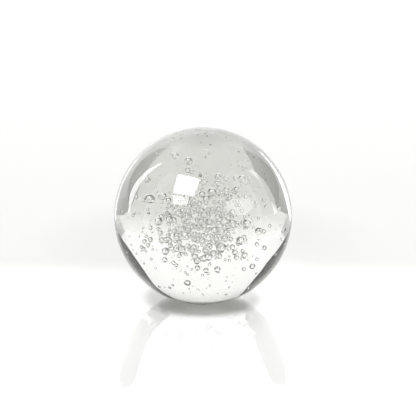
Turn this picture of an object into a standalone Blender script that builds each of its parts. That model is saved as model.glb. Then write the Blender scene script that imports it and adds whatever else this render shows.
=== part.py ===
"""Glass ball paperweight with trapped bubbles, built from its gathers of glass.

The ball is made on a punty iron. A small core of hot glass is rolled in powder that foams
into bubbles, and each further gather wraps the one before it and traps those bubbles in
the joint. The ball is broken off the iron, and its base is ground and polished flat, which
cuts through every gather and leaves them as concentric rings around the core's neck.

Metres, +Z up. The origin is the middle of the ground base, on the surface it rests on.
"""

import math
import random
from collections import namedtuple

import bmesh
import bpy
from mathutils import Euler, Matrix, Vector

# Outer form
BALL_DIAMETER = 0.080
BASE_DIAMETER = 0.022  # ground flat, measured over its arris
ARRIS = 0.0006  # small bevel polished round the edge of the flat

# Joint between two gathers: drawn as a gap, fused in the real ball
JOINT_GAP = 0.0003

# Each gather is a round head that runs down into a neck, with a fillet between the two.
# Its head sits a little under the middle of the ball, towards the iron: its drop.
CORE_HEAD_RADIUS = 0.0125
CORE_NECK_RADIUS = 0.0022
CORE_FILLET = 0.020
CORE_DROP = 0.0030
SECOND_HEAD_RADIUS = 0.0190
SECOND_NECK_RADIUS = 0.0045
SECOND_FILLET = 0.014
SECOND_DROP = 0.0025
THIRD_HEAD_RADIUS = 0.0260
THIRD_NECK_RADIUS = 0.0072
THIRD_FILLET = 0.009
THIRD_DROP = 0.0020

# Large bubbles trapped in each joint: how many, and the band round the head that they lie
# in, as the angles down from its top at which the band starts and ends
CORE_BUBBLES = 9
CORE_BAND = (math.radians(20), math.radians(118))
SECOND_BUBBLES = 14
SECOND_BAND = (math.radians(52), math.radians(120))
THIRD_BUBBLES = 12
THIRD_BAND = (math.radians(80), math.radians(122))
BUBBLE_DIAMETER_SMALLEST = 0.0010
BUBBLE_DIAMETER_LARGEST = 0.0022

# Facets of the turned faces
BALL_SIDES = 48
BALL_STEP = math.radians(8)
GATHER_SIDES = 24
GATHER_STEP = math.radians(12)

BALL_RADIUS = BALL_DIAMETER / 2
BASE_RADIUS = BASE_DIAMETER / 2
CENTRE_HEIGHT = math.sqrt(BALL_RADIUS**2 - BASE_RADIUS**2)
GOLDEN_ANGLE = math.pi * (3 - math.sqrt(5))

Gather = namedtuple("Gather", "head neck fillet centre")
CORE = Gather(CORE_HEAD_RADIUS, CORE_NECK_RADIUS, CORE_FILLET, CENTRE_HEIGHT - CORE_DROP)
SECOND = Gather(
    SECOND_HEAD_RADIUS, SECOND_NECK_RADIUS, SECOND_FILLET, CENTRE_HEIGHT - SECOND_DROP
)
THIRD = Gather(THIRD_HEAD_RADIUS, THIRD_NECK_RADIUS, THIRD_FILLET, CENTRE_HEIGHT - THIRD_DROP)


def clear_scene():
    for obj in list(bpy.data.objects):
        bpy.data.objects.remove(obj, do_unlink=True)


def new_collection(name):
    collection = bpy.data.collections.new(name)
    bpy.context.scene.collection.children.link(collection)
    return collection


def glass(name, colour, roughness):
    material = bpy.data.materials.new(name)
    material.use_nodes = True
    shader = material.node_tree.nodes["Principled BSDF"]
    shader.inputs["Base Color"].default_value = (*colour, 1.0)
    shader.inputs["Roughness"].default_value = roughness
    shader.inputs["Metallic"].default_value = 0.0
    shader.inputs["IOR"].default_value = 1.52
    shader.inputs["Transmission Weight"].default_value = 1.0
    material.diffuse_color = (*colour, 1.0)
    return material


def arc(centre, radius, start, end, step_angle):
    """Points (x, z) of an arc about centre, at angles measured from straight up, clockwise."""
    steps = max(2, math.ceil(abs(end - start) / step_angle))
    angles = [start + (end - start) * step / steps for step in range(steps + 1)]
    return [(centre[0] + radius * math.sin(a), centre[1] + radius * math.cos(a)) for a in angles]


def gather_profile(gather, outward=0.0):
    """The outer line of a gather from its top down to its neck's foot, as (x, z) points.

    The fillet's circle touches the head's circle and the neck's straight side. Where it would
    reach under the base, as on a small ball, the grinding cuts it off there. outward moves the
    whole line away from the gather, which gives the inside of the glass around it."""
    head = gather.head + outward
    neck = gather.neck + outward
    fillet = gather.fillet - outward
    across = neck + fillet
    reach = math.sqrt((head + fillet) ** 2 - across**2)
    touch = math.pi - math.atan2(across, reach)
    fillet_height = gather.centre - reach
    foot = -math.acos(max(0.0, -fillet_height) / fillet)
    points = arc((0.0, gather.centre), head, 0.0, touch, GATHER_STEP)
    points += arc((across, fillet_height), fillet, touch - math.pi, foot, GATHER_STEP)[1:]
    if fillet_height > 0.0:
        points.append((neck, 0.0))
    return points


def ball_profile():
    """The outer line of the whole ball, from its top down to the inner edge of the arris."""
    centre = (0.0, CENTRE_HEIGHT)
    lowest = math.acos((ARRIS - CENTRE_HEIGHT) / BALL_RADIUS)
    points = arc(centre, BALL_RADIUS, 0.0, math.pi / 2, BALL_STEP)
    points += arc(centre, BALL_RADIUS, math.pi / 2, lowest, BALL_STEP)[1:]
    return points + [(BASE_RADIUS - ARRIS, 0.0)]


def turned(name, profile, sides, collection):
    """Turns a closed outline, given down its outer side, about the Z axis with a Screw."""
    mesh = bpy.data.meshes.new(name)
    edges = [(i, i + 1) for i in range(len(profile) - 1)]
    mesh.from_pydata([(x, 0.0, z) for x, z in profile], edges, [])
    obj = bpy.data.objects.new(name, mesh)
    collection.objects.link(obj)
    screw = obj.modifiers.new("turn", "SCREW")
    screw.axis = "Z"
    screw.angle = 2 * math.pi
    screw.steps = sides
    screw.render_steps = sides
    screw.use_merge_vertices = True
    screw.merge_threshold = 0.00001
    screw.use_smooth_shade = True
    return obj


def solid_gather(name, outer, collection):
    """The innermost gather: its outer line, closed by the ground face of its neck."""
    return turned(name, outer + [(0.0, 0.0)], GATHER_SIDES, collection)


def shell_gather(name, outer, inner, sides, collection):
    """A gather that wraps another: down its outer line, across the ground ring, up inside."""
    return turned(name, outer + inner[::-1], sides, collection)


def joint_bubbles(name, gather, count, band, seed, collection):
    """One cutter that holds the bubbles trapped in the joint outside a gather's head.

    They follow a golden spiral, each shifted a little, and are centred in the gap so that
    the gathers on both sides of it get a part of each bubble as a round pit."""
    rng = random.Random(seed)
    mesh_maker = bmesh.new()
    highest, lowest = math.cos(band[0]), math.cos(band[1])
    for index in range(count):
        height = highest - (highest - lowest) * (index + 0.5) / count
        polar = math.acos(height) + rng.uniform(-0.06, 0.06)
        turn = index * GOLDEN_ANGLE + seed + rng.uniform(-0.1, 0.1)
        diameter = rng.uniform(BUBBLE_DIAMETER_SMALLEST, BUBBLE_DIAMETER_LARGEST)
        place = Vector((math.sin(polar), 0.0, math.cos(polar))) * (gather.head + JOINT_GAP / 2)
        place.rotate(Euler((0.0, 0.0, turn)))
        place.z += gather.centre
        bmesh.ops.create_icosphere(
            mesh_maker, subdivisions=1, radius=diameter / 2, matrix=Matrix.Translation(place)
        )
    mesh = bpy.data.meshes.new(name)
    mesh_maker.to_mesh(mesh)
    mesh_maker.free()
    cutter = bpy.data.objects.new(name, mesh)
    cutter.hide_render = True
    cutter.display_type = "WIRE"
    collection.objects.link(cutter)
    return cutter


def cut(obj, cutter):
    boolean = obj.modifiers.new("bubbles", "BOOLEAN")
    boolean.operation = "DIFFERENCE"
    boolean.solver = "EXACT"
    boolean.object = cutter


def finish(obj, material):
    obj.data.materials.append(material)
    obj.data.shade_smooth()
    obj.data.set_sharp_from_angle(angle=math.radians(30))


clear_scene()
parts = new_collection("bubble_paperweight")
cutters = new_collection("bubble_cutters")

core_joint = joint_bubbles("core_joint_bubbles", CORE, CORE_BUBBLES, CORE_BAND, 149, cutters)
second_joint = joint_bubbles(
    "second_joint_bubbles", SECOND, SECOND_BUBBLES, SECOND_BAND, 169, cutters
)
third_joint = joint_bubbles("third_joint_bubbles", THIRD, THIRD_BUBBLES, THIRD_BAND, 60, cutters)

# Core gather: the seeded first blob of glass, with the thin neck that held it on the iron
core_gather = solid_gather("core_gather", gather_profile(CORE), parts)
cut(core_gather, core_joint)
finish(core_gather, glass("seeded_core_glass", (0.86, 0.87, 0.84), 0.03))

# Second gather: wraps the core and shuts the first layer of bubbles in
second_gather = shell_gather(
    "second_gather", gather_profile(SECOND), gather_profile(CORE, JOINT_GAP), GATHER_SIDES, parts
)
cut(second_gather, core_joint)
cut(second_gather, second_joint)
finish(second_gather, glass("second_clear_glass", (0.90, 0.91, 0.89), 0.02))

# Third gather: wraps the second, with the widest layer of bubbles on its outside
third_gather = shell_gather(
    "third_gather", gather_profile(THIRD), gather_profile(SECOND, JOINT_GAP), GATHER_SIDES, parts
)
cut(third_gather, second_joint)
cut(third_gather, third_joint)
finish(third_gather, glass("third_clear_glass", (0.92, 0.93, 0.91), 0.02))

# Outer casing: the last and thickest gather, blocked to a ball, ground flat underneath
outer_casing = shell_gather(
    "outer_casing", ball_profile(), gather_profile(THIRD, JOINT_GAP), BALL_SIDES, parts
)
cut(outer_casing, third_joint)
finish(outer_casing, glass("clear_casing_glass", (0.94, 0.95, 0.93), 0.01))
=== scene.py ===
"""A clear glass ball paperweight with trapped bubbles, finished for a picture.

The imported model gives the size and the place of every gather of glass. The gathers are fused
in the real ball, so they become one solid here, and each section adds the bubbles that its
own gather holds.
"""

import math
import random
from collections import namedtuple

import bmesh
import bpy
import numpy as np
from mathutils import Euler, Matrix, Vector, noise


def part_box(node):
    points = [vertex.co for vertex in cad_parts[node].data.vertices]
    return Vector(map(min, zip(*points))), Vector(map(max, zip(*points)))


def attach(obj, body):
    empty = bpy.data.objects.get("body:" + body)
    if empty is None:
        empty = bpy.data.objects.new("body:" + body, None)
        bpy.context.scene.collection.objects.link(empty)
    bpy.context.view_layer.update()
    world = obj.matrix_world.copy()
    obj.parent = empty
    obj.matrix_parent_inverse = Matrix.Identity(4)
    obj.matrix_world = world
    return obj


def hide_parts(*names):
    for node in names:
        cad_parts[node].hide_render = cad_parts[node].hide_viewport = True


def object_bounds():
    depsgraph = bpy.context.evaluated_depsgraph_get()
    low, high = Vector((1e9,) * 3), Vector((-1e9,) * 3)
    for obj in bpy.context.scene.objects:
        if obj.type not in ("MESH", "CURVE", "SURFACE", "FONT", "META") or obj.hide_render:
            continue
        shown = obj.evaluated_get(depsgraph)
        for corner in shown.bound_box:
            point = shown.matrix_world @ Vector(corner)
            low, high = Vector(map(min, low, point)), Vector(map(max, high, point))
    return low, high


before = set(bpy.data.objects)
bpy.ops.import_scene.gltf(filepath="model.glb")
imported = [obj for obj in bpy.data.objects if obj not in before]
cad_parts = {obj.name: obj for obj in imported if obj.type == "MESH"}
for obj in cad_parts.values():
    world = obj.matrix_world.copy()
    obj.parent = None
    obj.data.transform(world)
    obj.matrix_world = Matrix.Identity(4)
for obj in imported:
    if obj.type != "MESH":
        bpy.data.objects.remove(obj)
cad_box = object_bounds()

# ---- Core gather -------------------------------------------------------------------------
# The first blob of glass on the iron, rolled in powder that foams. Its heart is a froth of
# bubbles, packed so closely that it looks grey, and larger ones lie on its skin, where the
# second gather shut them in.

Bubble = namedtuple("Bubble", "place radius squash turn")
bubbles = []
MM = 0.001
GLASS_INDEX = 1.52
BUBBLE_WALL = 0.00010  # least glass between two bubbles
JOINT_GAP = 0.0003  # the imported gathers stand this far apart
GOLDEN_ANGLE = math.pi * (3 - math.sqrt(5))
EYE_LEAN = math.radians(15)  # how far the eye looks down at the ball

casing_low, casing_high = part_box("outer_casing")
BALL_RADIUS = (casing_high.x - casing_low.x) / 2
BALL_CENTRE = Vector((0.0, 0.0, casing_high.z - BALL_RADIUS))


def head_of(node):
    """The middle and the radius of a gather's round head, from its packed box."""
    low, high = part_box(node)
    radius = (high.x - low.x) / 2
    return Vector((0.0, 0.0, high.z - radius)), radius


def trap(place, diameter, squash=1.0, turn=(0.0, 0.0, 0.0)):
    """Adds a bubble where it fits: clear of the others and of the ball's own surface."""
    radius = diameter / 2
    clear_of_skin = (place - BALL_CENTRE).length + radius < BALL_RADIUS - BUBBLE_WALL
    clear_of_base = place.z - radius > BUBBLE_WALL
    clear_of_others = all(
        (place - other.place).length > radius + other.radius + BUBBLE_WALL for other in bubbles
    )
    if clear_of_skin and clear_of_base and clear_of_others:
        bubbles.append(Bubble(place, radius, squash, Euler(turn)))


def trap_in_joint(centre, radius, count, band, seed):
    """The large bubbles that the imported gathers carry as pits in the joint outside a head."""
    smallest, largest = 0.0010, 0.0022
    highest, lowest = math.cos(math.radians(band[0])), math.cos(math.radians(band[1]))
    rng = random.Random(seed)
    for index in range(count):
        height = highest - (highest - lowest) * (index + 0.5) / count
        polar = math.acos(height) + rng.uniform(-0.06, 0.06)
        around = index * GOLDEN_ANGLE + seed + rng.uniform(-0.1, 0.1)
        diameter = rng.uniform(smallest, largest)
        place = Vector((math.sin(polar), 0.0, math.cos(polar))) * (radius + JOINT_GAP / 2)
        place.rotate(Euler((0.0, 0.0, around)))
        trap(centre + place, diameter)


def trap_seen(centre, radius, seen, squash=1.0, turn=(0.0, 0.0, 0.0)):
    """Bubbles at a radius round a centre, each given by where the eye meets it.

    seen holds (across, up, side, diameter) in millimetres, from the ball's middle, for an eye
    a little above the front. The ball magnifies, so the true place is found along the sight
    line bent at the ball's surface. side is 1 on the near side of the head, -1 on the far."""
    lean = Matrix.Rotation(-EYE_LEAN, 3, "X")
    for across, up, side, diameter in seen:
        ray = Vector((0.0, 1.0, 0.0))
        near = math.sqrt(BALL_RADIUS**2 - (across**2 + up**2) * MM**2)
        entry = Vector((across * MM, -near, up * MM))
        normal = entry.normalized()
        slant = -ray.dot(normal)
        bend = slant - math.sqrt(GLASS_INDEX**2 - 1 + slant**2)
        inside = ((ray + normal * bend) / GLASS_INDEX).normalized()
        entry, inside = lean @ entry, lean @ inside
        offset = entry - (centre - BALL_CENTRE)
        middle = -offset.dot(inside)
        half = math.sqrt(max(0.0, middle**2 - offset.length_squared + radius**2))
        place = BALL_CENTRE + entry + inside * (middle - side * half)
        trap(place, diameter * MM, squash, turn)


def scatter(rng, centre, near, far, flat, count, smallest, largest, bias=2.0):
    """Random bubbles between two radii of a shell that is flat times as high as it is wide.

    The higher the bias, the more of them are near the smallest diameter."""
    for _ in range(count):
        way = Vector((rng.gauss(0, 1), rng.gauss(0, 1), rng.gauss(0, 1))).normalized()
        out = (near**3 + (far**3 - near**3) * rng.random()) ** (1 / 3)
        place = Vector((way.x, way.y, way.z * flat)) * out
        diameter = smallest + (largest - smallest) * rng.random() ** bias
        trap(centre + place, diameter)


core_centre, core_radius = head_of("core_gather")
trap_in_joint(core_centre, core_radius, count=9, band=(20, 118), seed=149)
trap_seen(core_centre, core_radius, [
    (4, 10.5, 1, 3.0), (0.5, 0.5, 1, 2.6), (-7, -0.5, 1, 2.2), (12.4, -0.5, -1, 2.5),
    (9.6, -10, 1, 2.6), (8, -14, 1, 3.6), (0.3, -15.6, 1, 3.4), (-9.5, -14.8, 1, 2.8),
    (3, -18, -1, 2.0), (-15, -1.5, 1, 2.6), (-14, -7, 1, 2.0), (-7, -9.5, 1, 1.8),
    (12.8, 11.5, 1, 2.0), (15.2, 12, 1, 1.9), (7.8, 6, 1, 1.9), (-3.2, 4.2, 1, 1.7),
])
trap_seen(core_centre, core_radius, [(11.8, -5.6, 1, 3.4)], squash=0.45, turn=(0.0, -0.3, 0.0))
froth = random.Random(11)
scatter(froth, core_centre, near=0.0, far=core_radius * 1.1, flat=0.78,
        count=230, smallest=0.0010, largest=0.0025, bias=1.0)
scatter(froth, core_centre, near=0.0, far=core_radius * 1.2, flat=0.85,
        count=230, smallest=0.0005, largest=0.0011)

# ---- Second gather -----------------------------------------------------------------------
# Wraps the core. It was rolled in the powder again, so a looser layer of bubbles lies in the
# joint on its outside, mostly round its middle.

second_centre, second_radius = head_of("second_gather")
trap_in_joint(second_centre, second_radius, count=14, band=(52, 120), seed=169)
trap_seen(second_centre, second_radius, [
    (-6.6, 24.7, 1, 2.4), (6.6, 17.2, 1, 2.3), (0.9, 17.9, -1, 0.9), (6.4, 14.3, 1, 2.5),
    (10, 16.4, 1, 2.0), (14.2, 16.6, 1, 1.8), (17.2, 16.4, 1, 2.6), (10.9, 11.5, -1, 1.4),
    (14.5, 11.7, -1, 1.3), (-17.4, 8.5, 1, 2.6), (-17.2, 3.6, -1, 0.8), (-19.5, -2.3, 1, 3.0),
    (-23, -5.2, 1, 1.9), (19.3, -3.4, 1, 3.3), (16.4, -10.8, 1, 3.2), (19.9, -11.3, -1, 1.2),
    (13.9, -15.9, 1, 2.2), (18.2, -17.3, 1, 2.4), (-16.5, -15.4, 1, 2.8), (-16.8, -19.2, 1, 2.0),
    (2.4, -17.8, 1, 3.0), (-2.4, -22.7, 1, 2.1), (1.3, -23.8, 1, 2.0), (6.3, -23.4, 1, 2.4),
    (13.8, -20, 1, 1.9), (0.9, -25.8, -1, 0.7), (-5.3, -25.2, -1, 0.7), (-13, -20.5, 1, 1.6),
])
powder = random.Random(12)
scatter(powder, second_centre, near=core_radius, far=second_radius * 1.02, flat=0.8,
        count=120, smallest=0.0004, largest=0.0014)

# ---- Third gather ------------------------------------------------------------------------
# Wraps the second. Fewer bubbles lie in the joint on its outside, in loose groups.

third_centre, third_radius = head_of("third_gather")
trap_in_joint(third_centre, third_radius, count=12, band=(80, 122), seed=60)
trap_seen(third_centre, third_radius, [
    (-12.2, 26.2, 1, 2.6), (17.8, 20.8, 1, 2.0), (20.7, 15.1, 1, 1.7), (-29, 8.3, 1, 1.5),
    (-24.4, 15.6, 1, 2.1), (-29.6, 1.2, 1, 1.0), (-27.8, 1.2, 1, 1.0), (-25.9, -5.2, 1, 1.1),
    (-22.8, -10.2, 1, 2.1), (-23.9, -12.6, 1, 1.7), (-26.8, -13.5, 1, 1.5), (-24.4, -15.9, 1, 1.5),
    (-22.4, -18.8, 1, 1.2), (-28.3, -10.2, -1, 0.7), (26.4, -6.7, 1, 1.8), (26.7, -13.9, 1, 1.9),
    (23.4, -18.8, 1, 1.6), (21.5, -21.9, 1, 2.4), (17.7, -23, 1, 1.6), (-6.8, -29.1, 1, 2.6),
    (-14.6, -31.5, 1, 1.2), (-13.2, -30.2, 1, 1.1), (33.2, 3.1, 1, 1.8), (-25.8, -20.8, 1, 0.9),
])
loose = random.Random(13)
scatter(loose, third_centre, near=second_radius, far=third_radius * 1.02, flat=0.85,
        count=110, smallest=0.0003, largest=0.0010)

# ---- Outer casing ------------------------------------------------------------------------
# The last and thickest gather, blocked to a ball in a wet wooden cup. Only fine seeds are
# left in it. Its base was ground flat and polished, with a small arris round the edge.

ARRIS = 0.0006
WAVINESS = 0.00008  # how far a hand-blocked surface strays from a true ball
SWELLS = 1.7  # how many swells lie across its radius
ROUNDEST_OVER = 1.2 * MM  # bubbles of a larger radius have the finest mesh
PLAINEST_UNDER = 0.6 * MM  # and those of a smaller radius the coarsest
trap_seen(BALL_CENTRE, BALL_RADIUS * 0.84, [
    (36, -5.9, 1, 1.3), (-19.2, -31, 1, 1.3), (-8.6, -33.7, 1, 0.7), (-0.2, -34, 1, 0.7),
    (6.3, -33.7, 1, 0.6), (10.1, -34.4, 1, 1.2), (-10.4, -37.1, 1, 0.7), (0.9, -38.8, 1, 0.8),
    (1, 36, 1, 0.9), (-2.4, 35.5, 1, 0.7), (-13, 34.1, 1, 0.8), (10.1, 34.3, 1, 0.7),
    (17.4, 32.2, 1, 0.8), (-0.8, 31.6, 1, 0.6), (3.1, 30.6, 1, 0.8), (22, 25.4, 1, 0.8),
    (15.4, 27.8, 1, 0.7), (27, 15.8, 1, 0.6), (23, -25, 1, 0.9), (34, -10, 1, 0.7),
])
seeds = random.Random(14)
scatter(seeds, BALL_CENTRE, near=third_radius, far=BALL_RADIUS * 0.96, flat=1.0,
        count=240, smallest=0.00022, largest=0.0007, bias=2.5)


def ball_skin(mesh_maker):
    """The ball's own surface, cut flat at the base, with the arris and a slight waviness."""
    made = bmesh.ops.create_uvsphere(
        mesh_maker, u_segments=200, v_segments=100, radius=BALL_RADIUS,
        matrix=Matrix.Translation(BALL_CENTRE),
    )
    for vertex in made["verts"]:
        out = (vertex.co - BALL_CENTRE).normalized()
        swell = noise.noise(out * SWELLS + Vector((3.1, 0.4, 7.7)))
        vertex.co -= out * WAVINESS * (0.5 + 0.5 * swell)
    whole = mesh_maker.verts[:] + mesh_maker.edges[:] + mesh_maker.faces[:]
    cut = bmesh.ops.bisect_plane(
        mesh_maker, geom=whole, plane_co=(0, 0, 0), plane_no=(0, 0, -1), clear_outer=True
    )
    rim = [part for part in cut["geom_cut"] if isinstance(part, bmesh.types.BMEdge)]
    bmesh.ops.contextual_create(mesh_maker, geom=rim)
    rim = [edge for edge in rim if edge.is_valid]
    bmesh.ops.bevel(mesh_maker, geom=rim, offset=ARRIS, segments=1, affect="EDGES")


def in_order(mesh_maker):
    """A mesh's points and faces, sorted by place, so that they come the same on every run."""
    corners = sorted(mesh_maker.verts, key=lambda vertex: tuple(vertex.co))
    rank = {vertex: index for index, vertex in enumerate(corners)}
    faces = sorted([rank[vertex] for vertex in face.verts] for face in mesh_maker.faces)
    return np.array([vertex.co for vertex in corners]), faces


def unit_hollow(subdivisions):
    """Points and triangles of a ball of radius 1 whose faces look inward, at the gas."""
    mesh_maker = bmesh.new()
    bmesh.ops.create_icosphere(mesh_maker, subdivisions=subdivisions, radius=1.0)
    points, faces = in_order(mesh_maker)
    mesh_maker.free()
    return points, np.array([face[::-1] for face in faces])


mesh_maker = bmesh.new()
ball_skin(mesh_maker)
skin_points, faces = in_order(mesh_maker)
mesh_maker.free()
points = [skin_points]
skin_count = count = len(skin_points)
hollows = {fineness: unit_hollow(fineness) for fineness in (2, 3, 4)}
for bubble in bubbles:
    fineness = 4 if bubble.radius > ROUNDEST_OVER else 3 if bubble.radius > PLAINEST_UNDER else 2
    unit_points, unit_faces = hollows[fineness]
    scale = bubble.radius * np.array([1.0, 1.0, bubble.squash])
    turned = (unit_points * scale) @ np.array(bubble.turn.to_matrix()).T
    points.append(turned + np.array(bubble.place))
    faces += (unit_faces + count).tolist()
    count += len(unit_points)
ball_mesh = bpy.data.meshes.new("glass_ball")
ball_mesh.from_pydata(np.concatenate(points).tolist(), [], faces)
ball_mesh.shade_smooth()
ball_mesh.set_sharp_from_angle(angle=math.radians(5))
for edge in ball_mesh.edges:  # only the arris stays crisp, the bubbles are smooth all over
    if max(edge.vertices) >= skin_count:
        edge.use_edge_sharp = False
glass_ball = bpy.data.objects.new("glass_ball", ball_mesh)
bpy.context.scene.collection.objects.link(glass_ball)


class Wire:
    """A socket of a shader tree. Plain arithmetic on it adds the Math nodes that do the sum."""

    def __init__(self, tree, socket=None):
        self.tree = tree
        self.socket = socket

    def node(self, kind, settings, values, output=0):
        """Adds a node: its settings first, then a number or a wire for each named socket."""
        made = self.tree.nodes.new(kind)
        for name, value in settings.items():
            setattr(made, name, value)
        for name, value in values.items():
            self.feed(made, name, value)
        return Wire(self.tree, made.outputs[output])

    def feed(self, made, name, value):
        if isinstance(value, Wire):
            self.tree.links.new(value.socket, made.inputs[name])
        else:
            made.inputs[name].default_value = value

    def sum(self, operation, first, second):
        return self.node("ShaderNodeMath", {"operation": operation}, {0: first, 1: second})

    def __add__(self, other):
        return self.sum("ADD", self, other)

    def __rsub__(self, other):
        return self.sum("SUBTRACT", other, self)

    def __mul__(self, other):
        return self.sum("MULTIPLY", self, other)

    __radd__ = __add__
    __rmul__ = __mul__

    def fade(self, start, end):
        """0 at start and 1 at end, with soft ends between the two."""
        return self.node(
            "ShaderNodeMapRange", {"interpolation_type": "SMOOTHSTEP"},
            {"Value": self, "From Min": start, "From Max": end},
        )

    def mix(self, factor, first, second):
        """A colour between two colours."""
        return self.node(
            "ShaderNodeMix", {"data_type": "RGBA"}, {0: factor, 6: first, 7: second}, output=2
        )


# The glass: water-clear with a faint tint, a fire-polished skin with fine cords and a trace of
# hand grease, ash left by the powder on the inner bubbles' walls, and a satin ground base.
glass = bpy.data.materials.new("clear_casing_glass")
glass.use_nodes = True
glass_shader = glass.node_tree.nodes["Principled BSDF"]
glass_shader.inputs["IOR"].default_value = GLASS_INDEX
glass_shader.inputs["Transmission Weight"].default_value = 1.0
melt = Wire(glass.node_tree)
where = melt.node("ShaderNodeTexCoord", {}, {}, output="Object")
from_middle = melt.node(
    "ShaderNodeVectorMath", {"operation": "DISTANCE"},
    {0: where, 1: tuple(BALL_CENTRE)}, output="Value",
)
height = melt.node("ShaderNodeSeparateXYZ", {}, {0: where}, output="Z")
skin = from_middle.fade(BALL_RADIUS - 1.0 * MM, BALL_RADIUS - 0.3 * MM)
ground = 1.0 - height.fade(0.1 * MM, 0.5 * MM)
cloud = melt.node("ShaderNodeTexNoise", {}, {"Vector": where, "Scale": 170.0, "Detail": 3.0})
ash = (1.0 - from_middle.fade(10 * MM, 30 * MM)) * (0.6 + 0.6 * cloud)
tint = melt.mix(ash, (1.0, 1.0, 1.0, 1.0), (0.975, 0.976, 0.97, 1.0))
grease = melt.node(
    "ShaderNodeTexNoise", {}, {"Vector": where, "Scale": 55.0, "Detail": 5.0, "Roughness": 0.6}
)
haze = skin * grease.fade(0.55, 0.75) * 0.012
cords = melt.node(
    "ShaderNodeTexNoise", {}, {"Vector": where, "Scale": 38.0, "Detail": 1.0, "Distortion": 0.6}
)
grinding = melt.node("ShaderNodeTexNoise", {}, {"Vector": where, "Scale": 2600.0, "Detail": 2.0})
relief = skin * cords + ground * grinding * 0.4
ripple = melt.node(
    "ShaderNodeBump", {}, {"Strength": 0.35, "Distance": 0.00006, "Height": relief}
)
melt.feed(glass_shader, "Base Color", tint)
melt.feed(glass_shader, "Roughness", haze + 0.10 * ground)
melt.feed(glass_shader, "Normal", ripple)
absorb = glass.node_tree.nodes.new("ShaderNodeVolumeAbsorption")
absorb.inputs["Color"].default_value = (0.957, 0.9585, 0.947, 1.0)
absorb.inputs["Density"].default_value = 44.0
glass_output = glass.node_tree.nodes["Material Output"]
glass.node_tree.links.new(absorb.outputs["Volume"], glass_output.inputs["Volume"])
ball_mesh.materials.append(glass)

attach(glass_ball, "root")
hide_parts("core_gather", "second_gather", "third_gather", "outer_casing")

# ---- Floor -------------------------------------------------------------------------------
# A sheet of glossy white acrylic, which mirrors the ball's underside. A pool of light is painted
# on it as glow, strongest in front of the ball and weak behind. A painted shadow lies under the
# ball and on a patch close behind it, where the sheet glows least.

floor_mesh = bpy.data.meshes.new("floor")
floor_mesh.from_pydata([(-6, -6, 0), (6, -6, 0), (6, 6, 0), (-6, 6, 0)], [], [(0, 1, 2, 3)])
floor = bpy.data.objects.new("floor", floor_mesh)
bpy.context.scene.collection.objects.link(floor)
floor.location.z = cad_box[0][2] - 0.00005
acrylic = bpy.data.materials.new("white_acrylic")
acrylic.use_nodes = True
acrylic_shader = acrylic.node_tree.nodes["Principled BSDF"]
acrylic_shader.inputs["Base Color"].default_value = (0.93, 0.93, 0.92, 1.0)
acrylic_shader.inputs["Metallic"].default_value = 0.18
acrylic_shader.inputs["Roughness"].default_value = 0.02
acrylic_shader.inputs["IOR"].default_value = 1.7
# The sheet glows though it is no lamp: its glow is painted light.
acrylic_shader.inputs["Emission Strength"].default_value = 1.0
sheet = Wire(acrylic.node_tree)
spot = sheet.node("ShaderNodeTexCoord", {}, {}, output="Object")
reach = sheet.node("ShaderNodeVectorMath", {"operation": "LENGTH"}, {0: spot}, output="Value")
depth = sheet.node("ShaderNodeSeparateXYZ", {}, {0: spot}, output="Y")
from_painted_shadow = sheet.node(
    "ShaderNodeVectorMath", {"operation": "DISTANCE"}, {0: spot, 1: (0, 0.09, 0)}, output="Value"
)
# Painted light and shadow: the glow is strong in front of the ball, and weak under it and on a
# patch behind it.
painted_light_in_front = depth.fade(0.060, -0.010)
painted_light_all_round = 0.15 * from_painted_shadow.fade(0.05, 0.11)
painted_pool = reach.fade(0.022, 0.032) * (painted_light_in_front + painted_light_all_round)
painted_light_and_shadow = sheet.mix(painted_pool, (0.08, 0.08, 0.075, 1.0), (0.50, 0.50, 0.50, 1.0))
sheet.feed(acrylic_shader, "Emission Color", painted_light_and_shadow)
floor_mesh.materials.append(acrylic)

# ---- Backdrop and lights -----------------------------------------------------------------
# A white sweep behind, fading to dark overhead and to a dim room in front. Dark flags with pale
# skirtings at their feet draw the ball's edges. Strip lights, a window and a lamp give the
# highlights, and a softbox overhead throws the shadow that the ball stands in, which the floor's
# painted shadow deepens.

world = bpy.data.worlds.new("white_sweep")
bpy.context.scene.world = world
world.use_nodes = True
background = world.node_tree.nodes["Background"]
sweep = Wire(world.node_tree)
look = sweep.node("ShaderNodeTexCoord", {}, {}, output="Generated")
upward = sweep.node("ShaderNodeSeparateXYZ", {}, {0: look}, output="Z")
onward = sweep.node("ShaderNodeSeparateXYZ", {}, {0: look}, output="Y")
overhead = upward.fade(0.76, 0.90)
in_front = onward.fade(-0.15, -0.45)
behind = sweep.mix(overhead, (1.0, 1.0, 1.0, 1.0), (0.10, 0.10, 0.10, 1.0))
sweep.feed(background, "Color", sweep.mix(in_front, behind, (0.10, 0.10, 0.10, 1.0)))
background.inputs["Strength"].default_value = 1.19


def at(azimuth, elevation, distance):
    """A place round the ball: azimuth 0 is behind it, 90 to its right, in degrees."""
    a, e = math.radians(azimuth), math.radians(elevation)
    way = Vector((math.sin(a) * math.cos(e), math.cos(a) * math.cos(e), math.sin(e)))
    return BALL_CENTRE + way * distance


def panel(name, outline, distance, colour, strength):
    """A panel round the ball, its outline given as azimuths and elevations from the ball."""
    corners = [at(azimuth, elevation, distance) for azimuth, elevation in outline]
    mesh = bpy.data.meshes.new(name)
    mesh.from_pydata([tuple(corner) for corner in corners], [], [tuple(range(len(corners)))])
    obj = bpy.data.objects.new(name, mesh)
    bpy.context.scene.collection.objects.link(obj)
    material = bpy.data.materials.new(name)
    material.use_nodes = True
    shader = material.node_tree.nodes["Principled BSDF"]
    shader.inputs["Base Color"].default_value = (0.0, 0.0, 0.0, 1.0)
    shader.inputs["Specular IOR Level"].default_value = 0.0
    shader.inputs["Emission Color"].default_value = (*colour, 1.0)
    shader.inputs["Emission Strength"].default_value = strength
    mesh.materials.append(material)
    obj.visible_camera = False
    return obj


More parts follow.
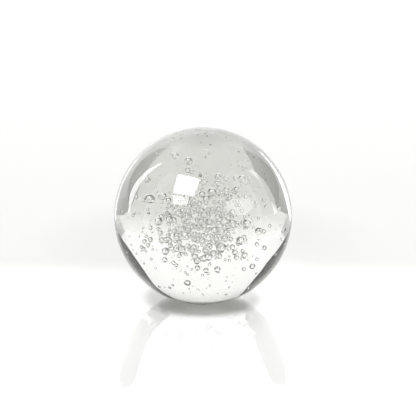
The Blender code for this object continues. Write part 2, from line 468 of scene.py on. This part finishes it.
def highlight(name, outline, distance, strength, in_bubbles=False):
    """A light that the ball's skin reflects, but that nothing shows at a second reflection.

    in_bubbles lets it be seen through the glass too, and so in the bubbles."""
    light = panel(name, outline, distance, WHITE, strength)
    light.visible_diffuse = False
    light.visible_transmission = in_bubbles
    material = light.active_material
    wires = Wire(material.node_tree)
    bounces = wires.node("ShaderNodeLightPath", {}, {}, output="Glossy Depth")
    once = wires.mix(bounces.fade(1.0, 2.0), (1.0, 1.0, 1.0, 1.0), (0.0, 0.0, 0.0, 1.0))
    wires.feed(material.node_tree.nodes["Principled BSDF"], "Emission Color", once)


WHITE = (1.0, 1.0, 1.0)
WARM_BLACK = (1.0, 0.95, 0.85)
FLAG_AWAY = 1.4  # how far each panel stands from the ball
SKIRTING_AWAY = 1.6
STRIP_AWAY = 1.25
WINDOW_AWAY = 1.3
SOFTBOX_AWAY = 1.1
panel("flag_left", [
    (-100, -1.5), (-76, -1.5), (-69, 4), (-58, 6), (-49, 9.4), (-43, 12), (-38.5, 15.4),
    (-36, 20.8), (-33.7, 26.2), (-32.9, 33.6), (-35, 42), (-37, 50), (-50, 56), (-100, 55),
], FLAG_AWAY, WARM_BLACK, 0.03)
panel("flag_right", [
    (100, -1.5), (76, -1.5), (69, 3), (61, 4.6), (51, 6.8), (44.4, 10), (40, 14.7),
    (37.4, 20), (36.6, 27.6), (37, 36), (35, 44), (30, 53), (40, 57), (70, 57), (100, 55),
], FLAG_AWAY, WARM_BLACK, 0.03)
for side, name in ((-1, "skirting_left"), (1, "skirting_right")):
    panel(name, [(side * 48, -1.3), (side * 100, -1.3), (side * 100, 6), (side * 60, 6)],
          SKIRTING_AWAY, WHITE, 0.7)
highlight("strip_left", [
    (-73, -1.8), (-71, -1.8), (-67.5, 3), (-63, 10), (-62, 16), (-62.5, 30), (-63.5, 43),
    (-68, 49), (-70, 44), (-72, 31), (-73, 16), (-74, 5),
], STRIP_AWAY, 7.0)
highlight("strip_right", [(71, -1.5), (79, -1.5), (79, 43), (71, 40)], STRIP_AWAY, 3.5)
highlight("window_top", [
    (-118, 58.7), (-173, 60.6), (-165.5, 38.5), (-133, 37.4),
], WINDOW_AWAY, 16.0, in_bubbles=True)
highlight("window_low", [
    (-133, 35), (-160, 36), (-157, 26), (-139, 25),
], WINDOW_AWAY, 8.0, in_bubbles=True)
highlight("lamp_glare", [
    (148, 29), (141, 31), (124, 29), (110, 24), (112, 14), (126, 10), (138, 12), (147, 20),
], WINDOW_AWAY, 3.2)
softbox = panel("softbox", [(turn, 66) for turn in range(0, 360, 15)], SOFTBOX_AWAY, WHITE, 2.4)
softbox.visible_glossy = False
softbox.visible_transmission = False

# ---- Camera ------------------------------------------------------------------------------
# A short telephoto, a little above the ball, looking down at it.

CAMERA_DISTANCE = 0.5209
camera_data = bpy.data.cameras.new("view")
camera = bpy.data.objects.new("view", camera_data)
bpy.context.scene.collection.objects.link(camera)
bpy.context.scene.camera = camera
eye_way = Vector((0.0, -math.cos(EYE_LEAN), math.sin(EYE_LEAN)))
camera.location = BALL_CENTRE + eye_way * CAMERA_DISTANCE
camera.rotation_euler = (math.pi / 2 - EYE_LEAN, 0.0, 0.0)
camera_data.lens = 100
camera_data.sensor_width = 36
camera_data.shift_x = 0.012
camera_data.shift_y = 0.019
camera_data.clip_start = 0.01

cycles = bpy.context.scene.cycles
cycles.max_bounces = 40
cycles.transmission_bounces = 40
cycles.glossy_bounces = 12
cycles.diffuse_bounces = 4
bpy.context.scene.view_settings.view_transform = "Standard"
